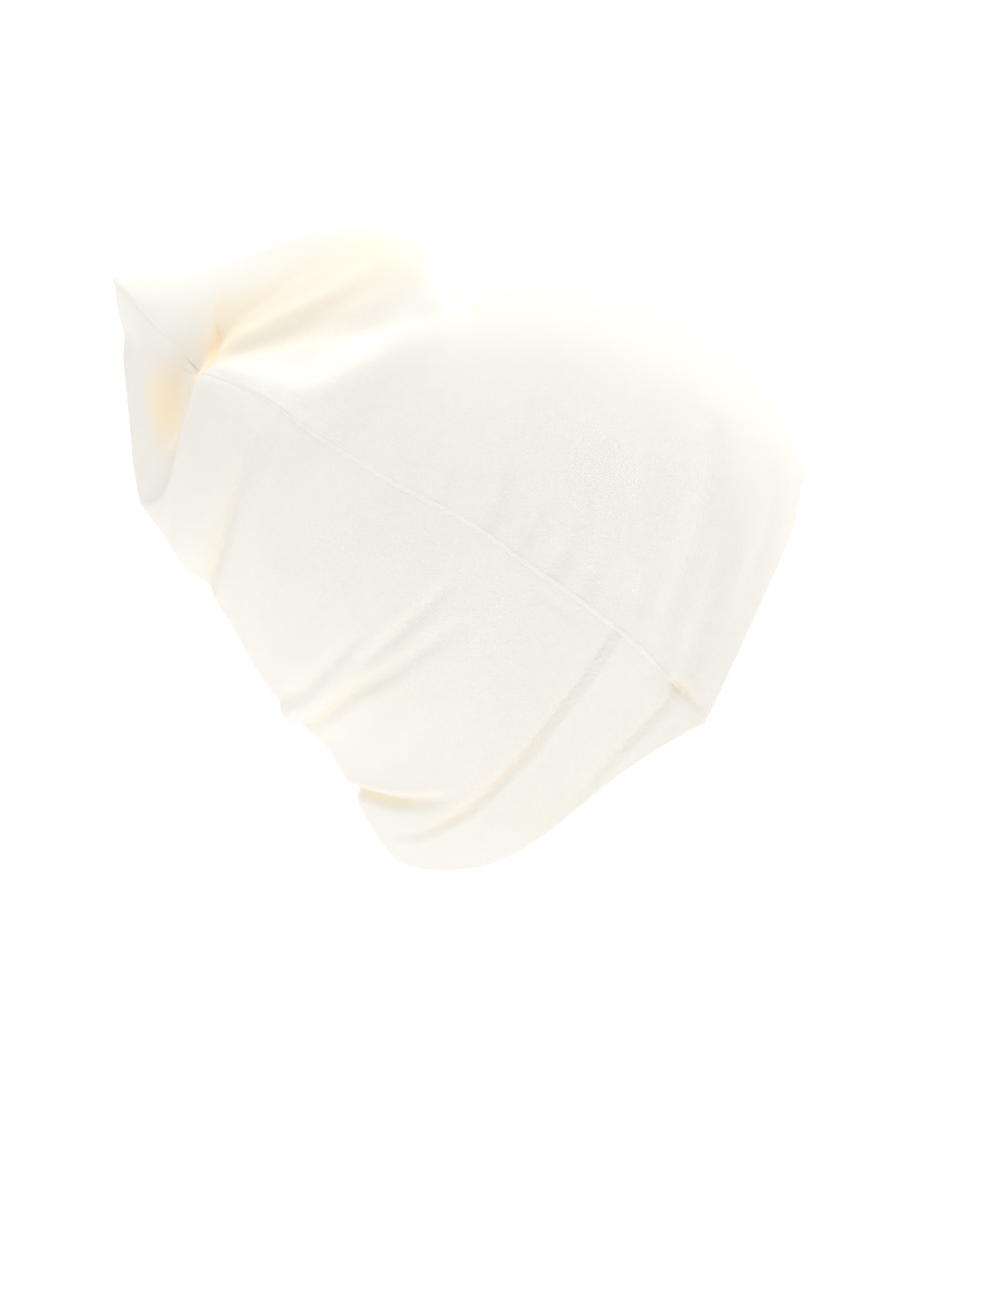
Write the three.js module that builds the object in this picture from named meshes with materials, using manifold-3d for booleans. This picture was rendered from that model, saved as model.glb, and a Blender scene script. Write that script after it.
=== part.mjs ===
// Long jersey nightcap in the form it takes when it is worn: a tube of fine knit that
// leans back, cut as a front and a back panel, with its two end corners tucked in.
// Millimetres. +X is the way the wearer faces, +Y the wearer's left, +Z up.
// The origin is the highest point inside the cap, which it rests on when it is worn.
import * as THREE from "three";
import { mergeVertices } from "three/addons/utils/BufferGeometryUtils.js";
import Module from "manifold-3d";

const wasm = await Module();
wasm.setup();

// Driving sizes
const CAP_LENGTH = 280; // along the leaning tube, cheek edge to crown corner
const CAP_DEPTH = 230; // across the tube, forehead to nape
const CAP_WIDTH = 152; // widest, ear to ear
const LEAN_DEG = 35; // the tube rises backwards by this angle
const WALL = 2; // two layers of fine jersey
const SEAM_GAP = 0.3; // clearance between sewn pieces
const FOLD_DEPTH = 10; // the deepest crease
const FOLD_WIDTH = 9; // half width of an ordinary crease
const WELT_WIDTH = 2.4; // raised ridge that hides a seam
const WELT_HEIGHT = 1.3;
const SIDE_WELT_START = 0.185; // rise where the side seam comes out of the turned hem
const SIDE_WELT_END = 0.76; // rise where the side seam enters the pinched corner
const CROWN_WELT_END = 0.2; // turn where the crown seam enters the pinched corner
const FULLNESS = 0.16; // 0 is an ellipse, more is squarer

// Mesh resolution
const ROUND_STEPS = 32;
const RISE_STEPS = 38;
const WELT_SIDES = 6;

// Sections up the tube. Lengths along are shares of CAP_LENGTH, lengths across are shares
// of CAP_DEPTH and width is a share of CAP_WIDTH. Front and back are the middle lines,
// seam is the side seam, and a bow bends the section towards the rim between them.
const SECTIONS = [
  { rise: 0.00, frontAlong: -0.460, frontAcross: -0.057, seamAlong: -0.510, seamAcross: -0.43,
    backAlong: -0.288, backAcross: -0.905, width: 0.80, frontBow: 0, backBow: 0.058 },
  { rise: 0.10, frontAlong: -0.425, frontAcross: 0.015, seamAlong: -0.400, seamAcross: -0.395,
    backAlong: -0.212, backAcross: -0.878, width: 0.90, frontBow: 0, backBow: 0.05 },
  { rise: 0.20, frontAlong: -0.335, frontAcross: 0.08, seamAlong: -0.305, seamAcross: -0.385,
    backAlong: -0.155, backAcross: -0.833, width: 0.96, frontBow: 0, backBow: 0.035 },
  { rise: 0.30, frontAlong: -0.220, frontAcross: 0.105, seamAlong: -0.205, seamAcross: -0.385,
    backAlong: -0.078, backAcross: -0.812, width: 1, frontBow: 0, backBow: 0.02 },
  { rise: 0.40, frontAlong: -0.110, frontAcross: 0.08, seamAlong: -0.100, seamAcross: -0.385,
    backAlong: 0, backAcross: -0.795, width: 1, frontBow: 0, backBow: 0.01 },
  { rise: 0.50, frontAlong: -0.015, frontAcross: 0.03, seamAlong: 0, seamAcross: -0.40,
    backAlong: 0.08, backAcross: -0.750, width: 0.98, frontBow: 0.01, backBow: 0 },
  { rise: 0.60, frontAlong: 0.055, frontAcross: -0.025, seamAlong: 0.105, seamAcross: -0.408,
    backAlong: 0.150, backAcross: -0.715, width: 0.94, frontBow: 0.02, backBow: 0 },
  { rise: 0.68, frontAlong: 0.105, frontAcross: -0.053, seamAlong: 0.208, seamAcross: -0.408,
    backAlong: 0.222, backAcross: -0.690, width: 0.88, frontBow: 0.045, backBow: 0.006 },
  { rise: 0.74, frontAlong: 0.130, frontAcross: -0.067, seamAlong: 0.282, seamAcross: -0.424,
    backAlong: 0.275, backAcross: -0.670, width: 0.78, frontBow: 0.08, backBow: 0.025 },
  { rise: 0.78, frontAlong: 0.158, frontAcross: -0.055, seamAlong: 0.305, seamAcross: -0.432,
    backAlong: 0.292, backAcross: -0.660, width: 0.64, frontBow: 0.09, backBow: 0.032 },
  { rise: 0.83, frontAlong: 0.209, frontAcross: -0.045, seamAlong: 0.312, seamAcross: -0.430,
    backAlong: 0.322, backAcross: -0.626, width: 0.57, frontBow: 0.06, backBow: 0.03 },
  { rise: 0.90, frontAlong: 0.300, frontAcross: -0.120, seamAlong: 0.317, seamAcross: -0.428,
    backAlong: 0.376, backAcross: -0.550, width: 0.50, frontBow: 0.025, backBow: 0.016 },
  { rise: 0.955, frontAlong: 0.403, frontAcross: -0.292, seamAlong: 0.319, seamAcross: -0.429,
    backAlong: 0.434, backAcross: -0.467, width: 0.47, frontBow: 0.01, backBow: 0.006 },
  { rise: 1.00, frontAlong: 0.494, frontAcross: -0.384, seamAlong: 0.320, seamAcross: -0.430,
    backAlong: 0.494, backAcross: -0.384, width: 0.44, frontBow: 0, backBow: 0 },
];

// Folds, each a line of points on the cloth from turn and rise to turn and rise. A turn of
// 0 is the front middle, 0.25 the side seam and 0.5 the back middle. Width is a share of
// FOLD_WIDTH, depth a share of FOLD_DEPTH, and a negative depth is a raised fold.
const FOLDS = [
  { name: "nape_overhang", path: [[0.50, 0.160], [0.465, 0.157], [0.44, 0.145], [0.393, 0.124]],
    width: 0.5, depth: 0.45 },
  { name: "nape_roll", path: [[0.50, 0.205], [0.46, 0.20], [0.41, 0.18]], width: 1, depth: -0.2 },
  { name: "hem_line", path: [[0.252, 0.16], [0.28, 0.125], [0.322, 0.101], [0.369, 0.09], [0.424, 0.074]],
    width: 0.4, depth: 0.2 },
  { name: "low_back_one", path: [[0.50, 0.372], [0.422, 0.365], [0.356, 0.376]], width: 0.5, depth: 0.24 },
  { name: "low_back_two", path: [[0.50, 0.312], [0.433, 0.314], [0.382, 0.321], [0.311, 0.303]],
    width: 0.5, depth: 0.26 },
  { name: "low_back_roll", path: [[0.50, 0.34], [0.42, 0.343]], width: 0.9, depth: -0.3 },
  { name: "mid_back", path: [[0.352, 0.345], [0.314, 0.345], [0.28, 0.35]], width: 0.5, depth: 0.24 },
  { name: "upper_back", path: [[0.50, 0.598], [0.432, 0.608], [0.383, 0.621], [0.315, 0.65]],
    width: 0.6, depth: 0.32 },
  { name: "upper_back_roll", path: [[0.50, 0.64], [0.43, 0.648]], width: 0.9, depth: -0.2 },
  { name: "seam_pucker_high", path: [[0.246, 0.371], [0.21, 0.398]], width: 0.6, depth: 0.14 },
  { name: "seam_pucker_low", path: [[0.246, 0.268], [0.203, 0.303]], width: 0.6, depth: 0.16 },
  { name: "temple_fold", path: [[0.246, 0.085], [0.226, 0.113], [0.18, 0.165], [0.155, 0.196], [0.12, 0.23]],
    width: 0.7, depth: 0.28 },
  { name: "brow_fold", path: [[0.246, 0.045], [0.226, 0.06], [0.201, 0.085], [0.176, 0.129], [0.155, 0.175]],
    width: 0.8, depth: 0.32 },
  { name: "brow_roll", path: [[0, 0.095], [0.06, 0.09]], width: 0.6, depth: -0.22 },
  { name: "cheek_tuck", path: [[0.25, 0.053], [0.271, 0.033], [0.305, 0.018]], width: 0.35, depth: 0.25 },
  { name: "lobe_valley", path: [[0.225, 0.793], [0.202, 0.80], [0.183, 0.815], [0.158, 0.831]],
    width: 0.6, depth: 0.2 },
  { name: "lobe_foot_roll", path: [[0.236, 0.66], [0.222, 0.648], [0.198, 0.646], [0.168, 0.648]],
    width: 1.1, depth: -0.4 },
  { name: "lobe_ridge", path: [[0.221, 0.85], [0.188, 0.852], [0.166, 0.854], [0.137, 0.856]],
    width: 0.5, depth: -0.16 },
  { name: "corner_slit", path: [[0.229, 0.902], [0.205, 0.93], [0.169, 0.941]], width: 0.5, depth: 0.3 },
  { name: "leaf_hollow", path: [[0.30, 0.88], [0.325, 0.865], [0.345, 0.845]], width: 0.9, depth: 0.6 },
  { name: "lobe_edge_crease", path: [[0.29, 0.795], [0.34, 0.785], [0.42, 0.785]], width: 0.5, depth: 0.4 },
];

const JERSEY = { color: 0xf1ece0, roughness: 0.95, metalness: 0 };
const THREAD = { color: 0xf6f1e6, roughness: 0.9, metalness: 0 };

const QUARTER = 0.25;
const DRAPE_STEP = 1e-3; // share used to measure slopes of the cloth
const MITRE_LIMIT = 1.6; // longest wall corner, in walls
const FOLD_REACH = 3; // widths past which a fold is not felt
const SEAM_GUARD = 3; // columns of cloth kept on their own side of a seam
const CROWN_FADE = 0.05; // folds die out this far below the crown seam
const FOLD_END_SHARE = 0.35; // of its full depth, what a fold keeps at its two ends
const FOLD_END_REACH = 0.1; // share of its length over which each end keeps that
const TURN_GATHER = 0.25; // how much closer the columns lie at the seams than between them
const RISE_GATHER = 0.09; // how much the rows crowd towards the end of the cap
const SEAT_RISES = [0.25, 0.65]; // the crown's top lies between these

// Value of one column of the section table at a rise, on a smooth curve through the rows
function sectionValue(name, rise) {
  const last = SECTIONS.length - 1;
  let low = 0;
  while (low < last - 1 && SECTIONS[low + 1].rise < rise) low += 1;
  const slope = (i) => {
    const a = SECTIONS[Math.max(i - 1, 0)];
    const b = SECTIONS[Math.min(i + 1, last)];
    return (b[name] - a[name]) / (b.rise - a.rise);
  };
  const start = SECTIONS[low];
  const end = SECTIONS[low + 1];
  const span = end.rise - start.rise;
  const t = (rise - start.rise) / span;
  const t2 = t * t;
  const t3 = t2 * t;
  return (
    (2 * t3 - 3 * t2 + 1) * start[name] + (t3 - 2 * t2 + t) * span * slope(low) +
    (3 * t2 - 2 * t3) * end[name] + (t3 - t2) * span * slope(low + 1)
  );
}

// A point given along and across the leaning tube, turned into x and z
function leaned(along, across, out) {
  const lean = THREE.MathUtils.degToRad(LEAN_DEG);
  return new THREE.Vector3(
    -Math.cos(lean) * along + Math.sin(lean) * across,
    -out,
    Math.sin(lean) * along + Math.cos(lean) * across,
  );
}

// The smooth cloth before its folds
function drape(turn, rise) {
  const angle = 2 * Math.PI * turn;
  const swell = 0.5 * FULLNESS * Math.sin(2 * angle);
  const reach = Math.cos(angle - swell);
  const out = Math.sin(angle + swell) * 0.5 * CAP_WIDTH * sectionValue("width", rise);
  const end = reach >= 0 ? "front" : "back";
  const share = Math.abs(reach);
  const bow = sectionValue(`${end}Bow`, rise) * Math.sin(2 * angle) ** 2;
  const blend = (suffix) => {
    const seam = sectionValue(`seam${suffix}`, rise);
    return seam + (sectionValue(`${end}${suffix}`, rise) - seam) * share;
  };
  return leaned((blend("Along") - bow) * CAP_LENGTH, blend("Across") * CAP_DEPTH, out);
}

// Outward direction of the smooth cloth, measured on the side of the seam given by lean
function outward(turn, rise, turnStep, riseStep) {
  const here = drape(turn, rise);
  const around = drape(turn + turnStep, rise).sub(here).multiplyScalar(Math.sign(turnStep));
  const up = drape(turn, rise + riseStep).sub(here).multiplyScalar(Math.sign(riseStep));
  return around.cross(up).negate().normalize();
}

// Distance on the cloth from a point to a fold's line, and how far along the line it is
function foldDistance(fold, turn, rise) {
  const girth = CAP_WIDTH + CAP_DEPTH;
  let best = { distance: Infinity, at: 0 };
  for (let i = 0; i + 1 < fold.path.length; i += 1) {
    const [turnA, riseA] = fold.path[i];
    const [turnB, riseB] = fold.path[i + 1];
    const across = [(turnB - turnA) * girth, (riseB - riseA) * CAP_LENGTH];
    const toPoint = [(turn - turnA) * girth, (rise - riseA) * CAP_LENGTH];
    const size = across[0] ** 2 + across[1] ** 2;
    const raw = (toPoint[0] * across[0] + toPoint[1] * across[1]) / size;
    const t = THREE.MathUtils.clamp(raw, 0, 1);
    const distance = Math.hypot(toPoint[0] - t * across[0], toPoint[1] - t * across[1]);
    if (distance < best.distance) best = { distance, at: (i + t) / (fold.path.length - 1) };
  }
  return best;
}

// How far all the folds push the cloth inwards at a point; both sides fold alike
function foldDepth(turn, rise) {
  const side = Math.abs(turn) > 0.5 ? 1 - Math.abs(turn) : Math.abs(turn);
  let depth = 0;
  for (const fold of FOLDS) {
    const { distance, at } = foldDistance(fold, side, rise);
    const width = fold.width * FOLD_WIDTH;
    if (distance > FOLD_REACH * width) continue;
    const along = THREE.MathUtils.clamp(at, FOLD_END_REACH, 1 - FOLD_END_REACH);
    const fade = THREE.MathUtils.lerp(FOLD_END_SHARE, 1, Math.sin(Math.PI * along));
    depth += fold.depth * FOLD_DEPTH * fade * Math.exp(-((distance / width) ** 2));
  }
  return depth * THREE.MathUtils.smoothstep(1 - rise, 0, CROWN_FADE);
}

// Direction into the wall at a corner of two pieces of cloth, and how long the wall is there
function mitre(one, other) {
  const middle = one.clone().add(other);
  if (middle.length() < DRAPE_STEP) return one.clone();
  middle.normalize();
  return middle.multiplyScalar(Math.min(1 / Math.max(middle.dot(one), DRAPE_STEP), MITRE_LIMIT));
}

// Outward wall direction anywhere on a panel; side is 1 on the front panel, -1 on the back
function wallDirection(turn, rise, side) {
  const sideSign = Math.sign(turn);
  const atSeam = Math.abs(Math.abs(turn) - QUARTER) < DRAPE_STEP / 2;
  const atCrown = rise > 1 - DRAPE_STEP / 2;
  const riseStep = rise > 0.5 ? -DRAPE_STEP : DRAPE_STEP;
  if (atSeam) {
    const front = outward(turn, rise, -sideSign * DRAPE_STEP, riseStep);
    const back = outward(turn, rise, sideSign * DRAPE_STEP, riseStep);
    return mitre(front, back);
  }
  const own = outward(turn, rise, side * (turn > 0 ? -1 : 1) * DRAPE_STEP, riseStep);
  if (!atCrown) return own;
  const facing = turn >= 0 ? 0.5 - turn : -0.5 - turn;
  return mitre(own, outward(facing, rise, side * (facing > 0 ? 1 : -1) * DRAPE_STEP, riseStep));
}

// Turns around one panel and rises up it, closer together where the cloth is gathered
function spread(steps, low, high, gather) {
  return Array.from({ length: steps + 1 }, (_, i) => {
    const t = i / steps;
    return low + (high - low) * (t - (gather * Math.sin(2 * Math.PI * t)) / (2 * Math.PI));
  });
}

// One panel as a closed wall between its outer and its inner face. A swollen panel is larger
// by the seam clearance all round, and is what its neighbour is trimmed with.
function panelGeometry(side, swelling = 0) {
  const middle = side > 0 ? 0 : 0.5;
  const turns = spread(ROUND_STEPS, middle - QUARTER, middle + QUARTER, TURN_GATHER);
  const rises = Array.from({ length: RISE_STEPS + 1 }, (_, j) => {
    const t = j / RISE_STEPS;
    return t + RISE_GATHER * Math.sin(Math.PI * t) ** 2;
  });
  const outer = [];
  const inner = [];
  for (const rise of rises) {
    const outerRow = [];
    const innerRow = [];
    for (const raw of turns) {
      const turn = raw > 0.5 ? raw - 1 : raw;
      const direction = wallDirection(turn, rise, side);
      const height = swelling - foldDepth(turn, rise);
      const skin = drape(turn, rise).addScaledVector(direction.clone().normalize(), height);
      outerRow.push(skin);
      innerRow.push(skin.clone().addScaledVector(direction, -WALL - 2 * swelling));
    }
    outer.push(outerRow);
    inner.push(innerRow);
  }
  easeSeams(outer, inner, 0.5 * SEAM_GAP - 0.5 * swelling);
  return closedWall(outer, inner);
}

function solidOf(geometry) {
  const bare = geometry.clone();
  bare.deleteAttribute("normal");
  const merged = mergeVertices(bare);
  return new wasm.Manifold(new wasm.Mesh({
    numProp: 3,
    vertProperties: merged.attributes.position.array,
    triVerts: new Uint32Array(merged.index.array),
  }));
}

// The back panel, trimmed where the tucked corners press it against the front panel
function trimmedBackGeometry() {
  const rest = solidOf(panelGeometry(-1)).subtract(solidOf(panelGeometry(1, SEAM_GAP)));
  const [panel] = rest.decompose().sort((a, b) => b.volume() - a.volume());
  const { vertProperties, triVerts } = panel.getMesh();
  const geometry = new THREE.BufferGeometry();
  geometry.setAttribute("position", new THREE.BufferAttribute(vertProperties, 3));
  geometry.setIndex(new THREE.BufferAttribute(triVerts, 1));
  geometry.computeVertexNormals();
  return geometry;
}

// Draw the sewn edges back from their seam planes by a clearance, and keep the cloth beside
// them on its own side of those planes
function easeSeams(outer, inner, clearance) {
  const top = outer.length - 1;
  const right = outer[0].length - 1;
  const borders = [];
  for (let row = 0; row <= top; row += 1) {
    const along = row < top ? 1 : -1;
    borders.push({ row, column: 0, inRow: 0, inColumn: 1, alongRow: along, alongColumn: 0 });
    borders.push({ row, column: right, inRow: 0, inColumn: -1, alongRow: along, alongColumn: 0 });
  }
  for (let column = 0; column <= right; column += 1) {
    const along = column < right ? 1 : -1;
    borders.push({ row: top, column, inRow: -1, inColumn: 0, alongRow: 0, alongColumn: along });
  }
  const planes = borders.map(({ row, column, inRow, inColumn, alongRow, alongColumn }) => {
    const skin = outer[row][column].clone();
    const through = inner[row][column].clone().sub(skin);
    const along = outer[row + alongRow][column + alongColumn].clone().sub(skin);
    const away = along.cross(through).normalize();
    const inside = outer[row + inRow][column + inColumn].clone().sub(skin);
    return { skin, away: away.multiplyScalar(Math.sign(away.dot(inside))) };
  });
  borders.forEach(({ row, column, inRow, inColumn }, i) => {
    const { skin, away } = planes[i];
    for (let depth = 0; depth <= SEAM_GUARD; depth += 1) {
      for (const grid of [outer, inner]) {
        const point = grid[row + depth * inRow][column + depth * inColumn];
        const distance = point.clone().sub(skin).dot(away);
        const wanted = clearance * (1 + depth);
        if (distance < wanted) point.addScaledVector(away, wanted - distance);
      }
    }
  });
}

// Closed body from two grids of points and the strips that join their borders
function closedWall(outer, inner) {
  const rows = outer.length;
  const columns = outer[0].length;
  const points = [...outer.flat(), ...inner.flat()];
  const under = rows * columns;
  const faces = [];
  const quad = (a, b, c, d) => faces.push(a, b, c, a, c, d);
  const id = (row, column) => row * columns + column;
  for (let row = 0; row + 1 < rows; row += 1) {
    for (let column = 0; column + 1 < columns; column += 1) {
      const a = id(row, column);
      const b = id(row, column + 1);
      const c = id(row + 1, column + 1);
      const d = id(row + 1, column);
      quad(a, d, c, b);
      quad(under + a, under + b, under + c, under + d);
    }
  }
  const border = [];
  for (let column = 0; column + 1 < columns; column += 1) border.push([id(0, column), id(0, column + 1)]);
  for (let row = 0; row + 1 < rows; row += 1) {
    border.push([id(row, columns - 1), id(row + 1, columns - 1)]);
  }
  for (let column = columns - 1; column > 0; column -= 1) {
    border.push([id(rows - 1, column), id(rows - 1, column - 1)]);
  }
  for (let row = rows - 1; row > 0; row -= 1) border.push([id(row, 0), id(row - 1, 0)]);
  for (const [a, b] of border) quad(a, b, under + b, under + a);
  return bodyGeometry(points, faces);
}

function bodyGeometry(points, faces) {
  const geometry = new THREE.BufferGeometry();
  const positions = new Float32Array(points.flatMap((p) => [p.x, p.y, p.z]));
  geometry.setAttribute("position", new THREE.BufferAttribute(positions, 3));
  geometry.setIndex(faces);
  geometry.computeVertexNormals();
  return geometry;
}

// Raised ridge laid along a seam, clear of the cloth by the seam clearance
function weltGeometry(stations) {
  const rings = stations.map(({ point, direction }, i) => {
    const before = stations[Math.max(i - 1, 0)].point;
    const after = stations[Math.min(i + 1, stations.length - 1)].point;
    const along = after.clone().sub(before).normalize();
    const across = along.clone().cross(direction).normalize();
    const centre = point.clone().addScaledVector(direction, SEAM_GAP + 0.5 * WELT_HEIGHT);
    return Array.from({ length: WELT_SIDES }, (_, k) => {
      const angle = (2 * Math.PI * (k + 0.5)) / WELT_SIDES;
      return centre.clone()
        .addScaledVector(across, 0.5 * WELT_WIDTH * Math.cos(angle))
        .addScaledVector(direction, 0.5 * WELT_HEIGHT * Math.sin(angle));
    });
  });
  const faces = [];
  const id = (ring, k) => ring * WELT_SIDES + (k % WELT_SIDES);
  for (let ring = 0; ring + 1 < rings.length; ring += 1) {
    for (let k = 0; k < WELT_SIDES; k += 1) {
      faces.push(id(ring, k), id(ring + 1, k + 1), id(ring, k + 1));
      faces.push(id(ring, k), id(ring + 1, k), id(ring + 1, k + 1));
    }
  }
  const last = rings.length - 1;
  for (let k = 1; k + 1 < WELT_SIDES; k += 1) {
    faces.push(id(0, 0), id(0, k), id(0, k + 1));
    faces.push(id(last, 0), id(last, k + 1), id(last, k));
  }
  return bodyGeometry(rings.flat(), faces);
}

function seamStation(turn, rise) {
  const direction = wallDirection(turn, rise, 1).normalize();
  const point = drape(turn, rise).addScaledVector(direction, -foldDepth(turn, rise));
  return { point, direction };
}

function sideSeamGeometry(turn) {
  const steps = spread(RISE_STEPS, SIDE_WELT_START, SIDE_WELT_END, 0);
  return weltGeometry(steps.map((rise) => seamStation(turn, rise)));
}

function crownSeamGeometry() {
  const steps = spread(ROUND_STEPS, -CROWN_WELT_END, CROWN_WELT_END, 0);
  return weltGeometry(steps.map((turn) => seamStation(turn, 1)));
}

// The highest point inside the crown, which the cap rests on when it is worn
function headSeat() {
  const [low, high] = SEAT_RISES;
  let seat = null;
  for (let rise = low; rise <= high; rise += DRAPE_STEP) {
    const direction = wallDirection(0, rise, 1);
    const point = drape(0, rise).addScaledVector(direction, -WALL - foldDepth(0, rise));
    if (!seat || point.z > seat.z) seat = point;
  }
  return seat.setY(0);
}

function named(name, geometry, look) {
  const mesh = new THREE.Mesh(geometry, new THREE.MeshStandardMaterial(look));
  mesh.name = name;
  return mesh;
}

const nightcap = new THREE.Group();
nightcap.position.copy(headSeat().negate());
nightcap.add(named("front_panel", panelGeometry(1), JERSEY));
nightcap.add(named("back_panel", trimmedBackGeometry(), JERSEY));
nightcap.add(named("right_side_seam", sideSeamGeometry(QUARTER), THREAD));
nightcap.add(named("left_side_seam", sideSeamGeometry(-QUARTER), THREAD));
nightcap.add(named("crown_seam", crownSeamGeometry(), THREAD));

export default nightcap;
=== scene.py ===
"""A long jersey nightcap in its worn shape, dressed around its solids."""

import math
from collections import namedtuple
from functools import partial

import bpy
import numpy as np
from mathutils import Matrix, Vector


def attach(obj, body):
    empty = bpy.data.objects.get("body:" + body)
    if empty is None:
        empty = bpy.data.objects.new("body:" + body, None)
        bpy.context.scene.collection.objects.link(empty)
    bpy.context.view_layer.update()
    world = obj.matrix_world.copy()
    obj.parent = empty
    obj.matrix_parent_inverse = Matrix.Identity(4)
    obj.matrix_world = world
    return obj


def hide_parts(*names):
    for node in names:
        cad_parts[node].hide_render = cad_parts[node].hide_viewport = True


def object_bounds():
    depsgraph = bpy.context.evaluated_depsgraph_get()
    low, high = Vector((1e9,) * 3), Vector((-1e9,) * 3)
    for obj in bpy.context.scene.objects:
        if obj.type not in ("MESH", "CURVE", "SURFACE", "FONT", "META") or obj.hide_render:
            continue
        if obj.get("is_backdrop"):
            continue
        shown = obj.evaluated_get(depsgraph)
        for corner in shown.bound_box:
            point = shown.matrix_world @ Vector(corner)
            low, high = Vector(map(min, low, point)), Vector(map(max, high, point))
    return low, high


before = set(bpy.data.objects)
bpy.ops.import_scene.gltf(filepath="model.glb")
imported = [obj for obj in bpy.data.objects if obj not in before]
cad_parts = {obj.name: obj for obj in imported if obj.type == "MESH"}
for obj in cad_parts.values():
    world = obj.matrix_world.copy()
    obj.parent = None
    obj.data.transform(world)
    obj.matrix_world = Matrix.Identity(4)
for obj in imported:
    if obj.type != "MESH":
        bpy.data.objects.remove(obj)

bl_info = {
    "name": "Jersey Nightcap",
    "version": (1, 0, 0),
    "blender": (4, 5, 0),
    "location": "View3D > Sidebar > Nightcap",
    "description": "Builds a long jersey nightcap in its worn shape",
    "category": "Mesh",
}

CAD_LOW, CAD_HIGH = (Vector(corner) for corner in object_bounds())
CAP_MIDDLE = (0, 0, -0.1)

# Sections up the tube. Lengths along are shares of the cap's length, lengths across are
# shares of its depth and width is a share of its width. Front and back are the middle
# lines, seam is the side seam, and a bow bends the section towards the rim between them.
Section = namedtuple("Section", "rise front_along front_across seam_along seam_across "
                                "back_along back_across width front_bow back_bow")
SECTIONS = [
    Section(0.00, -0.460, -0.057, -0.510, -0.430, -0.288, -0.905, 0.80, 0, 0.058),
    Section(0.10, -0.425, 0.015, -0.400, -0.395, -0.212, -0.878, 0.90, 0, 0.05),
    Section(0.20, -0.335, 0.080, -0.305, -0.385, -0.155, -0.833, 0.96, 0, 0.035),
    Section(0.30, -0.220, 0.105, -0.205, -0.385, -0.078, -0.812, 1.00, 0, 0.02),
    Section(0.40, -0.110, 0.080, -0.100, -0.385, 0.000, -0.795, 1.00, 0, 0.01),
    Section(0.50, -0.015, 0.030, 0.000, -0.400, 0.080, -0.750, 0.98, 0.01, 0),
    Section(0.60, 0.055, -0.025, 0.105, -0.408, 0.150, -0.715, 0.94, 0.02, 0),
    Section(0.68, 0.105, -0.053, 0.208, -0.408, 0.222, -0.690, 0.88, 0.045, 0.006),
    Section(0.74, 0.130, -0.067, 0.282, -0.424, 0.275, -0.670, 0.78, 0.08, 0.025),
    Section(0.78, 0.158, -0.055, 0.305, -0.432, 0.292, -0.660, 0.64, 0.09, 0.032),
    Section(0.83, 0.209, -0.045, 0.312, -0.430, 0.322, -0.626, 0.57, 0.06, 0.030),
    Section(0.90, 0.300, -0.120, 0.317, -0.428, 0.376, -0.550, 0.50, 0.025, 0.016),
    Section(0.955, 0.403, -0.292, 0.319, -0.429, 0.434, -0.467, 0.47, 0.01, 0.006),
    Section(1.00, 0.494, -0.384, 0.320, -0.430, 0.494, -0.384, 0.44, 0, 0),
]

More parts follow.
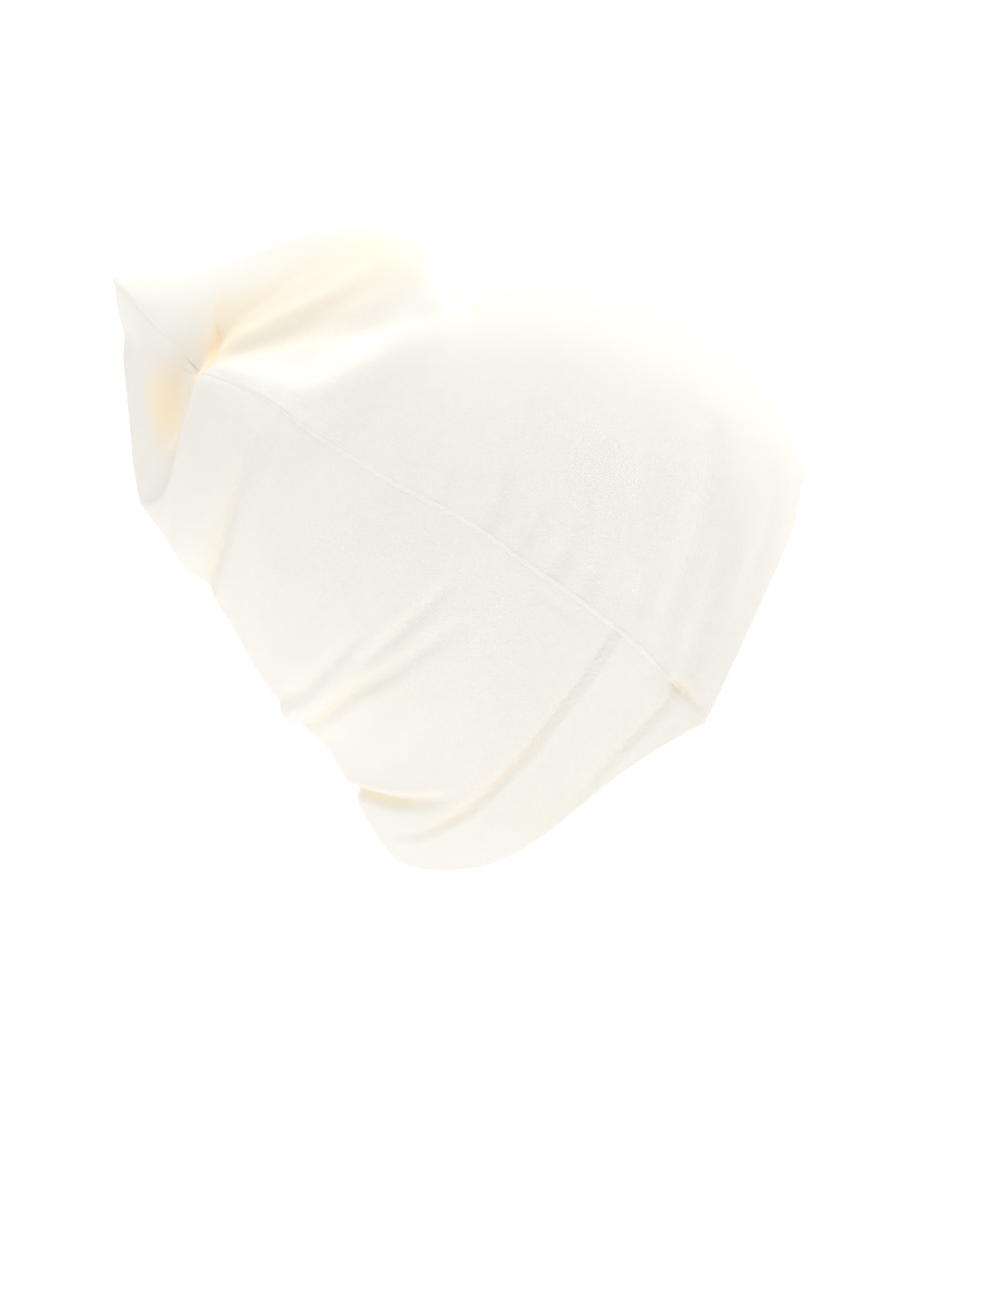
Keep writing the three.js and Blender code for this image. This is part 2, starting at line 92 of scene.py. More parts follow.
# Folds of the cloth. A path runs through points of turn, rise and strength: a turn of 0 is
# the front middle, 0.25 the side seam and 0.5 the back middle. Width and depth are shares
# of the named fold sizes, a negative depth is a raised fold, and lip raises the cloth
# beside a crease, on the left of its path if it is positive.
Fold = namedtuple("Fold", "name path width depth lip")
FOLDS = [
    Fold("nape_overhang", [(0.50, 0.160, 0.6), (0.465, 0.157, 0.95), (0.44, 0.145, 1), (0.418, 0.134, 0.85),
                           (0.393, 0.124, 0.5), (0.376, 0.118, 0)], 0.28, 0.4, -0.09),
    Fold("nape_roll", [(0.50, 0.205, 1), (0.46, 0.20, 0.9), (0.41, 0.18, 0.3)], 1.0, -0.2, 0),
    Fold("hem_line", [(0.252, 0.160, 0.7), (0.262, 0.146, 1), (0.280, 0.125, 1), (0.300, 0.112, 1),
                      (0.322, 0.101, 1), (0.345, 0.096, 1), (0.369, 0.090, 1), (0.398, 0.083, 0.9),
                      (0.424, 0.074, 0.5), (0.46, 0.068, 0.1)], 0.2, 0.14, -0.07),
    Fold("hem_turn", [(0.30, 0.06, 0.2), (0.34, 0.05, 0.8), (0.40, 0.04, 1), (0.50, 0.035, 1)],
         1.3, -0.12, 0),
    Fold("low_back_one", [(0.50, 0.372, 0.7), (0.46, 0.370, 0.9), (0.422, 0.365, 1), (0.383, 0.372, 0.9),
                          (0.356, 0.376, 0.6), (0.335, 0.381, 0)], 0.32, 0.19, 0.05),
    Fold("low_back_two", [(0.50, 0.312, 0.7), (0.465, 0.312, 0.9), (0.433, 0.314, 1), (0.382, 0.321, 1),
                          (0.343, 0.311, 0.8), (0.311, 0.303, 0.5), (0.288, 0.292, 0)], 0.32, 0.20, 0.05),
    Fold("low_back_roll", [(0.50, 0.340, 1), (0.45, 0.340, 0.8), (0.40, 0.345, 0.2)], 0.9, -0.3, 0),
    Fold("mid_back", [(0.365, 0.345, 0), (0.352, 0.345, 0.5), (0.333, 0.345, 0.9), (0.314, 0.345, 1),
                      (0.288, 0.348, 0.7), (0.272, 0.353, 0)], 0.3, 0.19, -0.05),
    Fold("upper_back", [(0.50, 0.596, 0.5), (0.47, 0.599, 0.7), (0.432, 0.604, 0.9), (0.402, 0.610, 1),
                        (0.363, 0.628, 1), (0.333, 0.643, 0.9), (0.306, 0.654, 0.7), (0.284, 0.664, 0.5),
                        (0.266, 0.676, 0)], 0.46, 0.28, 0.05),
    Fold("upper_back_roll", [(0.50, 0.640, 1), (0.45, 0.645, 0.8), (0.39, 0.66, 0.2)], 0.9, -0.2, 0),
    Fold("lobe_edge_roll", [(0.27, 0.755, 0.3), (0.32, 0.745, 1), (0.37, 0.745, 0.6), (0.41, 0.747, 0.1),
                            (0.44, 0.75, 0)], 0.45, -0.16, 0),
    Fold("lobe_foot", [(0.135, 0.785, 0), (0.115, 0.778, 0.6), (0.10, 0.768, 1), (0.08, 0.755, 1),
                       (0.062, 0.738, 1), (0.035, 0.735, 0.6), (0, 0.735, 0.5)], 0.45, 0.16, 0),
    Fold("lobe_edge_crease", [(0.268, 0.80, 0.3), (0.29, 0.795, 1), (0.34, 0.787, 0.8), (0.38, 0.785, 0.4),
                              (0.41, 0.785, 0.1), (0.43, 0.785, 0)], 0.4, 0.4, 0),
    Fold("leaf_hollow", [(0.270, 0.90, 0.5), (0.283, 0.89, 0.8), (0.305, 0.875, 1), (0.325, 0.865, 1),
                         (0.342, 0.845, 0.7), (0.355, 0.82, 0)], 0.75, 0.55, 0),
    Fold("seam_hollow", [(0.243, 0.46, 0), (0.240, 0.39, 0.7), (0.240, 0.30, 1), (0.240, 0.21, 1),
                         (0.242, 0.14, 0.3)], 0.6, 0.12, 0),
    Fold("seam_pucker_one", [(0.246, 0.445, 0.7), (0.236, 0.452, 1), (0.222, 0.462, 0)], 0.24, 0.08, 0),
    Fold("seam_pucker_two", [(0.246, 0.371, 0.8), (0.232, 0.380, 1), (0.210, 0.398, 0)], 0.3, 0.14, 0),
    Fold("seam_pucker_three", [(0.246, 0.322, 0.8), (0.236, 0.33, 1), (0.218, 0.342, 0)], 0.24, 0.09, 0),
    Fold("seam_pucker_four", [(0.246, 0.268, 0.8), (0.230, 0.281, 1), (0.203, 0.303, 0)], 0.34, 0.16, 0),
    Fold("seam_pucker_five", [(0.246, 0.222, 0.8), (0.234, 0.232, 1), (0.214, 0.247, 0)], 0.26, 0.12, 0),
    Fold("seam_streak", [(0.214, 0.188, 0), (0.225, 0.172, 1), (0.233, 0.161, 1), (0.243, 0.146, 0)],
         0.34, 0.15, 0),
    Fold("under_seam", [(0.258, 0.30, 0), (0.259, 0.26, 1), (0.259, 0.22, 1), (0.257, 0.19, 0)],
         0.24, 0.08, 0),
    Fold("temple_soft", [(0.149, 0.290, 0.1), (0.169, 0.269, 0.6), (0.188, 0.249, 1), (0.204, 0.233, 0.8),
                         (0.218, 0.218, 0.2)], 0.6, 0.15, 0),
    Fold("temple_fold", [(0.118, 0.235, 0), (0.137, 0.215, 0.5), (0.155, 0.196, 0.8), (0.180, 0.165, 1),
                         (0.203, 0.137, 1), (0.226, 0.113, 0.8), (0.246, 0.085, 0.5)], 0.6, 0.28, -0.06),
    Fold("brow_fold", [(0.150, 0.185, 0), (0.166, 0.15, 0.5), (0.176, 0.129, 0.8), (0.201, 0.085, 1),
                       (0.226, 0.060, 1), (0.246, 0.045, 0.6)], 0.62, 0.32, 0),
    Fold("brow_soft", [(0.10, 0.14, 0), (0.13, 0.085, 1), (0.17, 0.05, 1), (0.21, 0.03, 0.3)], 0.5, 0.14, 0),
    Fold("brow_roll", [(0, 0.095, 1), (0.035, 0.094, 0.9), (0.075, 0.09, 0)], 0.42, -0.22, 0),
    Fold("cheek_knot", [(0.2495, 0.060, 0.6), (0.2490, 0.050, 1), (0.248, 0.035, 0.7), (0.246, 0.015, 0.4)],
         0.24, 0.24, 0),
    Fold("cheek_tuck", [(0.250, 0.053, 0.9), (0.258, 0.042, 1), (0.271, 0.033, 1), (0.290, 0.023, 0.9),
                        (0.305, 0.018, 0.6), (0.325, 0.012, 0)], 0.19, 0.12, -0.04),
    Fold("lobe_valley", [(0.243, 0.80, 0.3), (0.234, 0.802, 0.7), (0.225, 0.793, 1), (0.215, 0.790, 1),
                         (0.202, 0.800, 1), (0.183, 0.815, 0.9), (0.158, 0.831, 0.5), (0.125, 0.838, 0.2),
                         (0.10, 0.84, 0)], 0.55, 0.14, 0),
    Fold("bright_fold", [(0.2495, 0.775, 0.2), (0.247, 0.735, 0.6), (0.243, 0.695, 1), (0.236, 0.660, 1),
                         (0.222, 0.648, 1), (0.198, 0.646, 1), (0.168, 0.648, 0.8), (0.138, 0.652, 0.4),
                         (0.11, 0.66, 0)], 1.1, -0.42, 0),
    Fold("lobe_ridge", [(0.240, 0.835, 0.4), (0.229, 0.857, 1), (0.221, 0.850, 1), (0.208, 0.848, 1),
                        (0.188, 0.852, 1), (0.166, 0.854, 1), (0.137, 0.856, 0.8), (0.102, 0.850, 0.4),
                        (0.08, 0.845, 0)], 0.45, -0.17, 0),
    Fold("lobe_valley_two", [(0.234, 0.889, 0.5), (0.209, 0.907, 1), (0.172, 0.905, 1), (0.13, 0.902, 0.7),
                             (0.083, 0.888, 0)], 0.4, 0.12, 0),
    Fold("corner_slit", [(0.2495, 0.80, 0.8), (0.244, 0.838, 1), (0.232, 0.895, 1), (0.205, 0.930, 0.8),
                         (0.169, 0.941, 0.5), (0.123, 0.944, 0)], 0.24, 0.22, 0),
    Fold("pinch_crease", [(0.2495, 0.775, 0.8), (0.2495, 0.70, 1), (0.2495, 0.62, 0.4), (0.2495, 0.58, 0)],
         0.2, 0.08, 0),
    Fold("tip_dent", [(0.50, 0.965, 1), (0.46, 0.963, 0.9), (0.40, 0.96, 0.3), (0.36, 0.96, 0)],
         0.7, 0.2, 0),
]

# Painted light in the knit's colour: a path, its half width and its amount. Inside the end's folds a warm
# painted shade stands for light bouncing in them and shining through the cloth, and painted highlights make
# it paler along lit folds.
Tone = namedtuple("Tone", "name path width amount")
# Warm painted shade in the creases and folds: the colour of light bouncing in them and shining through the
# cloth.
PAINTED_SHADE_TONES = [
    Tone("pit", [(0.2497, 0.78, 1), (0.244, 0.838, 1), (0.235, 0.878, 1), (0.226, 0.886, 0.6)], 0.0036, 1),
    Tone("streak", [(0.233, 0.89, 1), (0.229, 0.902, 1), (0.205, 0.930, 0.9), (0.169, 0.941, 0.75),
                    (0.135, 0.944, 0.5), (0.10, 0.946, 0)], 0.0025, 0.6),
    Tone("lobe_root", [(0.232, 0.885, 1), (0.215, 0.903, 1), (0.195, 0.908, 0.8), (0.17, 0.908, 0.5),
                       (0.147, 0.905, 0.2), (0.13, 0.90, 0)], 0.0085, 0.42),
    Tone("lobe", [(0.229, 0.86, 0.6), (0.208, 0.865, 0.9), (0.176, 0.87, 1), (0.145, 0.87, 1),
                  (0.106, 0.86, 0.9), (0.077, 0.85, 0.7)], 0.016, 0.33),
    Tone("lobe_valley", [(0.234, 0.81, 1), (0.215, 0.80, 1), (0.190, 0.812, 0.7), (0.16, 0.83, 0.2)],
         0.005, 0.05),
    Tone("leaf", [(0.305, 0.912, 0.6), (0.325, 0.903, 1), (0.345, 0.888, 1), (0.348, 0.862, 1),
                  (0.343, 0.83, 0.5)], 0.0085, 0.7),
    Tone("leaf_edge", [(0.262, 0.80, 1), (0.283, 0.79, 1), (0.302, 0.787, 0.7), (0.33, 0.785, 0)],
         0.0032, 0.7),
    Tone("upper_back", [(0.47, 0.599, 0.6), (0.432, 0.604, 1), (0.402, 0.610, 1), (0.363, 0.628, 0.8),
                        (0.333, 0.643, 0.5), (0.306, 0.654, 0)], 0.003, 0.14),
    Tone("nape", [(0.50, 0.16, 0.4), (0.48, 0.16, 0.9), (0.465, 0.157, 1), (0.44, 0.145, 1),
                  (0.418, 0.134, 0.7), (0.393, 0.124, 0)], 0.0027, 0.55),
    Tone("hem", [(0.28, 0.125, 0), (0.322, 0.101, 0.6), (0.345, 0.096, 1), (0.369, 0.090, 1),
                 (0.398, 0.083, 0.8), (0.424, 0.074, 0)], 0.0016, 0.28),
    Tone("tuck", [(0.250, 0.053, 0.9), (0.271, 0.033, 1), (0.305, 0.018, 0.6), (0.325, 0.012, 0)],
         0.0014, 0.12),
    Tone("low_back", [(0.45, 0.312, 0), (0.433, 0.314, 1), (0.382, 0.321, 0.8), (0.343, 0.311, 0)],
         0.0018, 0.22),
    Tone("knot", [(0.2495, 0.065, 0), (0.2490, 0.050, 1), (0.246, 0.02, 0.5)], 0.002, 0.25),
]
# Painted highlights along folds that catch the light, and over the shaded pocket at the foot of the loose
# end.
PAINTED_HIGHLIGHT_TONES = [
    Tone("bright_band", [(0.243, 0.748, 0.3), (0.241, 0.725, 0.8), (0.240, 0.702, 1), (0.236, 0.683, 1),
                         (0.225, 0.672, 1), (0.208, 0.674, 1), (0.183, 0.691, 1), (0.145, 0.786, 0.6),
                         (0.112, 0.793, 0.4), (0.077, 0.79, 0.2)], 0.0075, 0.68),
    Tone("lobe_side", [(0.221, 0.849, 0.8), (0.188, 0.852, 1), (0.145, 0.86, 1), (0.10, 0.86, 0.6),
                       (0.05, 0.86, 0.2)], 0.012, 0.18),
    Tone("lobe_foot", [(0.14, 0.70, 0), (0.115, 0.713, 0.7), (0.09, 0.718, 1), (0.05, 0.725, 1),
                       (0, 0.73, 1)], 0.0075, 0.9),
    Tone("flap_top", [(0.5, 0.99, 1), (0.42, 0.985, 1), (0.36, 0.985, 0.7), (0.31, 0.98, 0.3),
                      (0.28, 0.97, 0)], 0.014, 0.6),
]

Cloth = namedtuple("Cloth", "turn rise spot normal")

# The cloth. Lengths are in metres, and rises and turns are places on the cap.
SIDE_SEAM_TURN = 0.25
SEAT_RISES = (0.25, 0.65)
GIRTH_SHARE = 1.5  # of width and depth together
SLOPE_STEP = 1e-3
MERGE_DISTANCE = 1e-6
PANEL_COLUMNS = 190
PANEL_ROWS = 212
RISE_GATHER = 0.09  # how much the rows crowd towards the end
HEM_BEVEL = 0.4  # share of the wall
CROWN_FADE = 0.05  # folds die out this far below the crown seam
THIN_SHARE = 0.12  # of the wall, where it is pressed thinnest
THIN_REACH = 0.012
PINCH_RISES = (0.70, 0.76)
SHARED_REACH = 0.008

# Folds, and tones of painted shade and highlight. Reaches and lip sizes are in widths of the fold or tone.
PATH_STEPS = 8
LAYER_SPAN = 5.0  # keeps a path to its own layer where the cloth lies double
LAYER_FADE = (1.0, 0.6)
FOLD_REACH = 4
LIP_AWAY = 1.7
LIP_WIDTH = 1.3
TONE_REACH = 2
TONE_EDGE = 2.6
RIPPLE_SEED = 11
RIPPLE_SCALES = (5, 8, 13, 21)

# Seams. Shares are of a welt's half width.
SEAM_DROP = 0.0003
SEAM_DROP_REACH = 0.0028
GATHER_HEIGHT = 0.00012
GATHER_PITCH = 0.0062
GATHER_REACH = 0.006
SEAM_FADE_RISES = (0.80, 0.72)
SIDE_WELT_RISES = (0.062, 0.775)
CROWN_WELT_TURNS = (-0.238, 0.238)
WELT_ROWS = 300
WELT_SIDES = 12
SIDE_WELT_SHARE = 0.24
CROWN_WELT_SHARE = 0.14
WELT_LIFT_SHARE = 0.05
WELT_TAPER = 20
STITCH_STEPS = 6
STITCH_SIDES = 6
STITCH_SLANT = 0.35  # of the pitch
STITCH_REACH_SHARE = 0.8
THREAD_RADIUS = 0.00014

# Knit
WALE = 0.0011
COURSE = 0.0009
LEG_SLANT = 1.3

# Studio
FLOOR_SIZE = 6
FLOOR_CUTS = 40
BACKDROP_START = 1.5
BACKDROP_CURVE = 1.6
AMBIENT = 0.862
AMBIENT_BEHIND = 0.06
VIEW_CENTRE = (0.0107, -0.1394)
VIEW_HEIGHT = 0.5005
VIEW_DISTANCE = 1.5
SENSOR = 36


class NightcapSizes(bpy.types.PropertyGroup):
    """Sizes of the nightcap, in metres."""

    length: bpy.props.FloatProperty(
        name="Length", description="Along the leaning tube, cheek edge to crown corner",
        default=0.280, min=0.1, subtype="DISTANCE", unit="LENGTH")
    depth: bpy.props.FloatProperty(
        name="Depth", description="Across the tube, forehead to nape",
        default=0.230, min=0.1, subtype="DISTANCE", unit="LENGTH")
    width: bpy.props.FloatProperty(
        name="Width", description="Widest, ear to ear",
        default=round(CAD_HIGH.y - CAD_LOW.y, 3) - 0.004, min=0.1, subtype="DISTANCE", unit="LENGTH")
    lean: bpy.props.FloatProperty(
        name="Lean", description="How far the tube rises backwards",
        default=math.radians(35), subtype="ANGLE", unit="ROTATION")
    fullness: bpy.props.FloatProperty(
        name="Fullness", description="0 is an oval tube, more is squarer", default=0.16)
    wall: bpy.props.FloatProperty(
        name="Wall", description="Two layers of fine jersey",
        default=0.002, subtype="DISTANCE", unit="LENGTH")
    fold_depth: bpy.props.FloatProperty(
        name="Fold Depth", description="The deepest crease",
        default=0.010, subtype="DISTANCE", unit="LENGTH")
    fold_width: bpy.props.FloatProperty(
        name="Fold Width", description="Half width of an ordinary crease",
        default=0.009, subtype="DISTANCE", unit="LENGTH")
    ripple: bpy.props.FloatProperty(
        name="Ripple", description="Height of the soft unevenness of the cloth",
        default=0.00035, subtype="DISTANCE", unit="LENGTH")
    welt_width: bpy.props.FloatProperty(
        name="Welt Width", description="Width of the raised line along a seam",
        default=0.0019, subtype="DISTANCE", unit="LENGTH")
    stitch_pitch: bpy.props.FloatProperty(
        name="Stitch Pitch", description="Distance from one seam stitch to the next",
        default=0.0026, subtype="DISTANCE", unit="LENGTH")
    cut_width: bpy.props.FloatProperty(
        name="Cut Width", description="Width of a panel before it is worn",
        default=0.240, subtype="DISTANCE", unit="LENGTH")
    cut_length: bpy.props.FloatProperty(
        name="Cut Length", description="Length of a panel before it is worn",
        default=0.330, subtype="DISTANCE", unit="LENGTH")
    stand_height: bpy.props.FloatProperty(
        name="Stand Height", description="Height of the seat under the crown above the floor",
        default=0.372, subtype="DISTANCE", unit="LENGTH")


class NightcapColours(bpy.types.PropertyGroup):
    """Colours of the nightcap and of the studio."""

    jersey: bpy.props.FloatVectorProperty(
        name="Jersey", description="Natural white of the knit", subtype="COLOR",
        size=4, min=0, max=1, default=(0.825, 0.803, 0.747, 1))
    # Mottled tone of the yarn, and painted shade in the dips between the stitches.
    jersey_mottle_and_stitch_shade: bpy.props.FloatVectorProperty(
        name="Jersey Shade", description="Slightly deeper tone between the stitches", subtype="COLOR",
        size=4, min=0, max=1, default=(0.775, 0.748, 0.684, 1))
    # Warm painted shade inside the folds of the end, the colour of light bouncing in them.
    jersey_painted_shade: bpy.props.FloatVectorProperty(
        name="Jersey Deep", description="Tone of the knit inside the folds of the end", subtype="COLOR",
        size=4, min=0, max=1, default=(0.94, 0.785, 0.545, 1))
    # Painted highlight: paler knit along folds that catch the light and over a shaded pocket.
    jersey_painted_highlight: bpy.props.FloatVectorProperty(
        name="Jersey Pale", description="Tone of the knit where it is drawn tight", subtype="COLOR",
        size=4, min=0, max=1, default=(0.915, 0.902, 0.865, 1))
    thread: bpy.props.FloatVectorProperty(
        name="Thread", description="Seam thread", subtype="COLOR",
        size=4, min=0, max=1, default=(0.825, 0.806, 0.75, 1))
    studio: bpy.props.FloatVectorProperty(
        name="Studio", description="Floor and backdrop", subtype="COLOR",
        size=4, min=0, max=1, default=(0.96, 0.96, 0.96, 1))


def smoothstep(low, high, value):
    """Eased share of the way from low to high."""
    share = np.clip((value - low) / (high - low), 0, 1)
    return share * share * (3 - 2 * share)


def section_value(name, rise):
    """One column of the section table on a smooth curve through its rows."""
    rises = np.array([s.rise for s in SECTIONS])
    values = np.array([getattr(s, name) for s in SECTIONS])
    last = len(rises) - 1
    before = np.maximum(np.arange(last + 1) - 1, 0)
    after = np.minimum(np.arange(last + 1) + 1, last)
    slopes = (values[after] - values[before]) / (rises[after] - rises[before])
    low = np.clip(np.searchsorted(rises, rise) - 1, 0, last - 1)
    span = rises[low + 1] - rises[low]
    t = (rise - rises[low]) / span
    start = (2 * t ** 3 - 3 * t ** 2 + 1) * values[low] + (t ** 3 - 2 * t ** 2 + t) * span * slopes[low]
    end = (3 * t ** 2 - 2 * t ** 3) * values[low + 1] + (t ** 3 - t ** 2) * span * slopes[low + 1]
    return start + end


def drape(sizes, turn, rise):
    """The smooth cloth before its folds, in the tube's own place."""
    turn, rise = np.broadcast_arrays(np.asarray(turn, float), np.asarray(rise, float))
    angle = 2 * np.pi * turn
    swell = 0.5 * sizes.fullness * np.sin(2 * angle)
    reach = np.cos(angle - swell)
    out = np.sin(angle + swell) * 0.5 * sizes.width * section_value("width", rise)
    front = reach >= 0
    share = np.abs(reach)
    bow = np.where(front, section_value("front_bow", rise), section_value("back_bow", rise))
    bow = bow * np.sin(2 * angle) ** 2

    def blend(kind):
        seam = section_value(f"seam_{kind}", rise)
        end = np.where(front, section_value(f"front_{kind}", rise), section_value(f"back_{kind}", rise))
        return seam + (end - seam) * share

    along = (blend("along") - bow) * sizes.length
    across = blend("across") * sizes.depth
    x = -np.cos(sizes.lean) * along + np.sin(sizes.lean) * across
    z = np.sin(sizes.lean) * along + np.cos(sizes.lean) * across
    return np.stack([x, -out, z], axis=-1)


def seat_offset(sizes):
    """From the tube's own place to the frame, whose origin is the highest point inside."""
    rises = np.linspace(*SEAT_RISES, 401)
    points = drape(sizes, np.zeros_like(rises), rises)
    normals = outward(sizes, np.zeros_like(rises), rises, 1)
    inside = points - sizes.wall * normals
    seat = inside[np.argmax(inside[:, 2])]
    return np.array([-seat[0], 0, -seat[2]])


def outward(sizes, turn, rise, side):
    """Outward direction of the smooth cloth, measured within one panel."""
    inner = np.where(np.asarray(turn) >= 0, -1.0, 1.0) * side * SLOPE_STEP
    up = np.where(np.asarray(rise) > 0.5, -1.0, 1.0) * SLOPE_STEP
    here = drape(sizes, turn, rise)
    around = (drape(sizes, turn + inner, rise) - here) * np.sign(inner)[..., None]
    along = (drape(sizes, turn, rise + up) - here) * np.sign(up)[..., None]
    normal = -np.cross(around, along)
    return normal / np.maximum(np.linalg.norm(normal, axis=-1, keepdims=True), 1e-12)


def smooth_path(points):
    """A fold's points joined by a smooth curve."""
    points = np.array(points, float)
    padded = np.vstack([2 * points[0] - points[1], points, 2 * points[-1] - points[-2]])
    pieces = []
    for a, b, c, d in zip(padded, padded[1:], padded[2:], padded[3:]):
        t = np.linspace(0, 1, PATH_STEPS, endpoint=False)[:, None]
        pieces.append(0.5 * (2 * b + (c - a) * t + (2 * a - 5 * b + 4 * c - d) * t ** 2
                             + (3 * b - a - 3 * c + d) * t ** 3))
    return np.vstack([*pieces, points[-1]])


def near_side(sizes, turn, rise, side):
    """Smooth places and outward directions, with the far half brought to the near one."""
    half = np.abs(turn)
    half = np.where(half > 0.5, 1 - half, half)
    return Cloth(half, rise, drape(sizes, half, rise), outward(sizes, half, rise, side))


def beside_path(sizes, cloth, points, reach):
    """The cloth points within reach of a path, how far each is to its left, and the strength there."""
    path = smooth_path(points)
    line = drape(sizes, path[:, 0], path[:, 1])
    inside = (cloth.spot > line.min(axis=0) - reach) & (cloth.spot < line.max(axis=0) + reach)
    near = np.flatnonzero(np.all(inside, axis=-1))
    turn, rise, spot, normal = (part[near] for part in cloth)
    nearest = np.full(near.shape, np.inf)
    signed = np.zeros(near.shape)
    strength = np.zeros(near.shape)
    for start, end, here, there in zip(line, line[1:], path, path[1:]):
        along = end - start
        to_spot = spot - start
        share = np.clip((to_spot @ along) / max(along @ along, 1e-12), 0, 1)
        gap = to_spot - share[:, None] * along
        distance = np.linalg.norm(gap, axis=-1)
        left = np.sum(np.cross(gap, along) * normal, axis=-1)
        at = here + share[:, None] * (there - here)
        apart = LAYER_SPAN * np.hypot(turn - at[:, 0], rise - at[:, 1])
        closer = distance < nearest
        nearest = np.where(closer, distance, nearest)
        signed = np.where(closer, np.where(left < 0, -distance, distance), signed)
        strength = np.where(closer, at[:, 2] * smoothstep(*LAYER_FADE, apart), strength)
    return near, signed, np.clip(strength, 0, 1)


def fold_height(sizes, cloth):
    """How far all the folds raise the cloth; both sides of the cap fold alike."""
    height = np.zeros(cloth.turn.shape)
    for fold in FOLDS:
        width = fold.width * sizes.fold_width
        near, signed, strength = beside_path(sizes, cloth, fold.path, FOLD_REACH * width)
        crease = np.exp(-((signed / width) ** 2))
        beside = np.sign(fold.lip) * signed - LIP_AWAY * width
        lip = np.exp(-((beside / (LIP_WIDTH * width)) ** 2))
        height[near] += strength * sizes.fold_depth * (abs(fold.lip) * lip - fold.depth * crease)
    return height


def painted_light_share(sizes, cloth, tones):
    """How much of some painted light tones the knit takes, from 0 to 1: painted shade in the folds and
    painted highlights where they catch the light.
    """
    plain = np.ones(cloth.turn.shape)
    for tone in tones:
        near, signed, strength = beside_path(sizes, cloth, tone.path, TONE_REACH * tone.width)
        plain[near] *= 1 - tone.amount * strength * np.exp(-np.abs(signed / tone.width) ** TONE_EDGE)
    return 1 - plain


def ripple_height(sizes, turn, rise):
    """Soft unevenness of worn cloth: long low waves that lie around and along the tube."""
    waves = np.random.default_rng(RIPPLE_SEED)
    height = np.zeros_like(turn)
    for scale in RIPPLE_SCALES:
        for _ in range(3):
            around, up = waves.uniform(-1, 1, 2) * np.array([0.7, 1.2]) * scale
            phase = waves.uniform(0, 2 * np.pi)
            warp = 0.3 * np.sin(2 * np.pi * (2 * turn + 1.5 * rise) + phase)
            height += np.sin(2 * np.pi * (around * turn + up * rise + warp) + phase) / scale ** 0.7
    return sizes.ripple * height


def beside_seam(sizes, turn):
    """About how far the cloth is from the nearest side seam."""
    return np.abs(np.abs(turn) - SIDE_SEAM_TURN) * (sizes.width + sizes.depth) * GIRTH_SHARE


def seam_height(sizes, turn, rise):
    """The cloth draws in towards its seams, with small gathers along the side seams."""
    side = beside_seam(sizes, turn)
    drop = SEAM_DROP * np.exp(-(side / SEAM_DROP_REACH) ** 2)
    gather = GATHER_HEIGHT * np.sin(2 * np.pi * rise * sizes.length / GATHER_PITCH)
    gather *= np.exp(-(side / GATHER_REACH) ** 2)
    return (gather - drop) * smoothstep(*SEAM_FADE_RISES, rise)


def wall_share(sizes, turn, rise):
    """How thick the wall is: full, but thin where it is pressed into the corners of the end."""
    pinched = smoothstep(*PINCH_RISES, rise)
    at_side = 1 - pinched * (1 - smoothstep(0, THIN_REACH, beside_seam(sizes, turn)))
    return at_side * smoothstep(0, THIN_REACH, (1 - rise) * sizes.length)


def lift_direction(sizes, turn, rise, side):
    """The way folds lift the cloth, which both panels share where they are sewn together."""
    own = outward(sizes, turn, rise, side)
    seam = np.copysign(SIDE_SEAM_TURN, turn)
    shared = outward(sizes, seam, rise, 1) + outward(sizes, seam, rise, -1)
    shared /= np.maximum(np.linalg.norm(shared, axis=-1, keepdims=True), 1e-12)
    share = smoothstep(0, SHARED_REACH, beside_seam(sizes, turn))[..., None]
    direction = share * own + (1 - share) * shared
    return direction / np.linalg.norm(direction, axis=-1, keepdims=True)


def cloth_point(sizes, turn, rise, side, lift=0.0):
    """A point on the finished cloth, raised off it by lift."""
    normal = lift_direction(sizes, turn, rise, side)
    folds = fold_height(sizes, near_side(sizes, turn, rise, side)) + ripple_height(sizes, turn, rise)
    folds = folds * smoothstep(0, CROWN_FADE, 1 - rise) + seam_height(sizes, turn, rise)
    return drape(sizes, turn, rise) + (folds + lift)[..., None] * normal + seat_offset(sizes), normal


def deselect_all():
    bpy.ops.object.select_all(action="DESELECT")


def shaped_grid(name, columns, rows, place, attributes=None):
    """A grid whose points and attributes are given by functions of two shares from 0 to 1."""
    deselect_all()
    bpy.ops.mesh.primitive_grid_add(x_subdivisions=columns, y_subdivisions=rows, size=1,
                                    calc_uvs=True, location=(0, 0, 0))
    piece = bpy.context.object
    piece.name = piece.data.name = name
    flat = np.empty(len(piece.data.vertices) * 3)
    piece.data.vertices.foreach_get("co", flat)
    flat = flat.reshape(-1, 3) + 0.5
    piece.data.vertices.foreach_set("co", place(flat[:, 0], flat[:, 1]).ravel())
    for key, value in (attributes or {}).items():
        layer = piece.data.attributes.new(key, "FLOAT", "POINT")
        layer.data.foreach_set("value", value(flat[:, 0], flat[:, 1]))
    piece.data.update()
    return piece


def attribute_values(piece, key):
    """The values of one of a piece's attributes."""
    data = piece.data.attributes[key].data
    values = np.empty(len(data))
    data.foreach_get("value", values)
    return values


def group_from_attribute(piece, key):
    """A vertex group with the values of one of a piece's attributes, which it takes over."""
    group = piece.vertex_groups.new(name=key)
    for index, value in enumerate(attribute_values(piece, key)):
        group.add([index], value, "REPLACE")
    piece.data.attributes.remove(piece.data.attributes[key])
    return group


